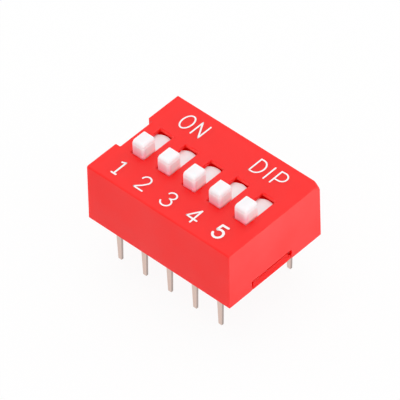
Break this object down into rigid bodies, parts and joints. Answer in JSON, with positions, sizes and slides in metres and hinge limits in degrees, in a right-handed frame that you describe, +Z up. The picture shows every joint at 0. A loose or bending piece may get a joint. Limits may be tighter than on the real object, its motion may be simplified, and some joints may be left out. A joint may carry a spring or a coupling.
{
  "type": "dip switch",
  "caption": "Low red moulded housing for a circuit board, with a row of white slide knobs in roof slots and two rows of flat metal legs below.",
  "frame": {"origin": "centre of the grid of ten legs, on the plane where the housing seats on the board", "axes": "+X along the row of switches from 1 to 5, +Y to the ON side, +Z up out of the board"},
  "size_m": [0.0141, 0.01, 0.0107],
  "materials": {
    "red_cover": "satin",
    "red_base": "satin",
    "white_slider": "satin",
    "tinned_leg": "dull tin plate over brass sheet",
    "spring_bronze": "bright phosphor bronze strip"
  },
  "bodies": {
    "housing": {"cover": "red_cover", "base": "red_base", "terminal_front_1": "tinned_leg", "terminal_front_2": "tinned_leg", "terminal_front_3": "tinned_leg", "terminal_front_4": "tinned_leg", "terminal_front_5": "tinned_leg", "terminal_rear_1": "tinned_leg", "terminal_rear_2": "tinned_leg", "terminal_rear_3": "tinned_leg", "terminal_rear_4": "tinned_leg", "terminal_rear_5": "tinned_leg"},
    "switch_1": {"slider_1": "white_slider", "contact_1": "spring_bronze"},
    "switch_2": {"slider_2": "white_slider", "contact_2": "spring_bronze"},
    "switch_3": {"slider_3": "white_slider", "contact_3": "spring_bronze"},
    "switch_4": {"slider_4": "white_slider", "contact_4": "spring_bronze"},
    "switch_5": {"slider_5": "white_slider", "contact_5": "spring_bronze"}
  },
  "joints": [
    {"name": "slide_1", "type": "slide", "parent": "housing", "child": "switch_1", "axis": [0, 1, 0], "range_m": [0, 0.00182]},
    {"name": "slide_2", "type": "slide", "parent": "housing", "child": "switch_2", "axis": [0, 1, 0], "range_m": [0, 0.00182]},
    {"name": "slide_3", "type": "slide", "parent": "housing", "child": "switch_3", "axis": [0, 1, 0], "range_m": [0, 0.00182]},
    {"name": "slide_4", "type": "slide", "parent": "housing", "child": "switch_4", "axis": [0, 1, 0], "range_m": [0, 0.00182]},
    {"name": "slide_5", "type": "slide", "parent": "housing", "child": "switch_5", "axis": [0, 1, 0], "range_m": [0, 0.00182]}
  ]
}
